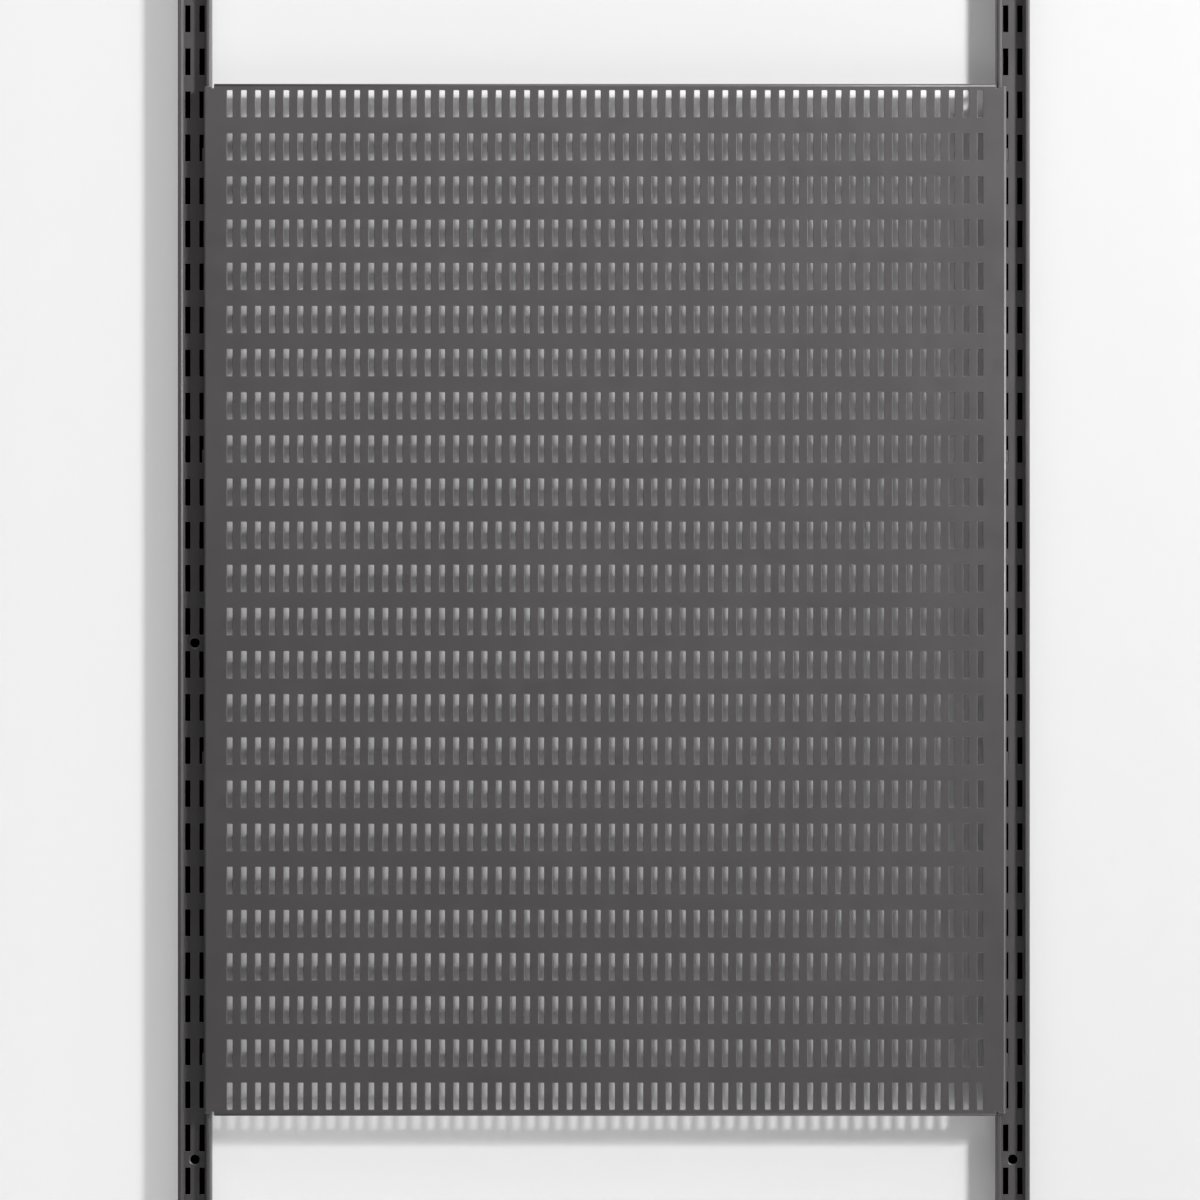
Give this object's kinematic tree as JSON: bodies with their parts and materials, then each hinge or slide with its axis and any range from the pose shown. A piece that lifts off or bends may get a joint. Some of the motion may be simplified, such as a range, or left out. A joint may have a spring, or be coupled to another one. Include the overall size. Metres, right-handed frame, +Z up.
{
  "type": "wall hung slotted utility board",
  "caption": "Slotted sheet-steel utility board hooked on two twin-slot wall uprights that hang from a wall rail.",
  "frame": {"origin": "on the wall plane, in the middle of the rail's line of screw holes, half-way between the uprights", "axes": "+Z up, +Y into the wall, the board's front faces -Y"},
  "size_m": [0.6928, 0.02, 1.2784],
  "materials": {
    "rail_steel": "satin graphite powder coat",
    "upright_steel": "satin graphite powder coat",
    "board_steel": "satin graphite powder coat",
    "plastic": "moulded dark grey plastic"
  },
  "bodies": {
    "rail": {"hang_rail": "rail_steel", "rail_end_cap_left": "plastic", "rail_end_cap_right": "plastic"},
    "uprights": {"upright_left": "upright_steel", "upright_right": "upright_steel", "upright_foot_left": "plastic", "upright_foot_right": "plastic"},
    "board": {"utility_board": "board_steel"}
  },
  "joints": [
    {"name": "rail_slide", "type": "slide", "parent": "rail", "child": "uprights", "axis": [1, 0, 0], "range_m": [-0.018, 0.018]},
    {"name": "board_lift", "type": "slide", "parent": "uprights", "child": "board", "axis": [0, 0, 1], "range_m": [0, 0.009]}
  ]
}
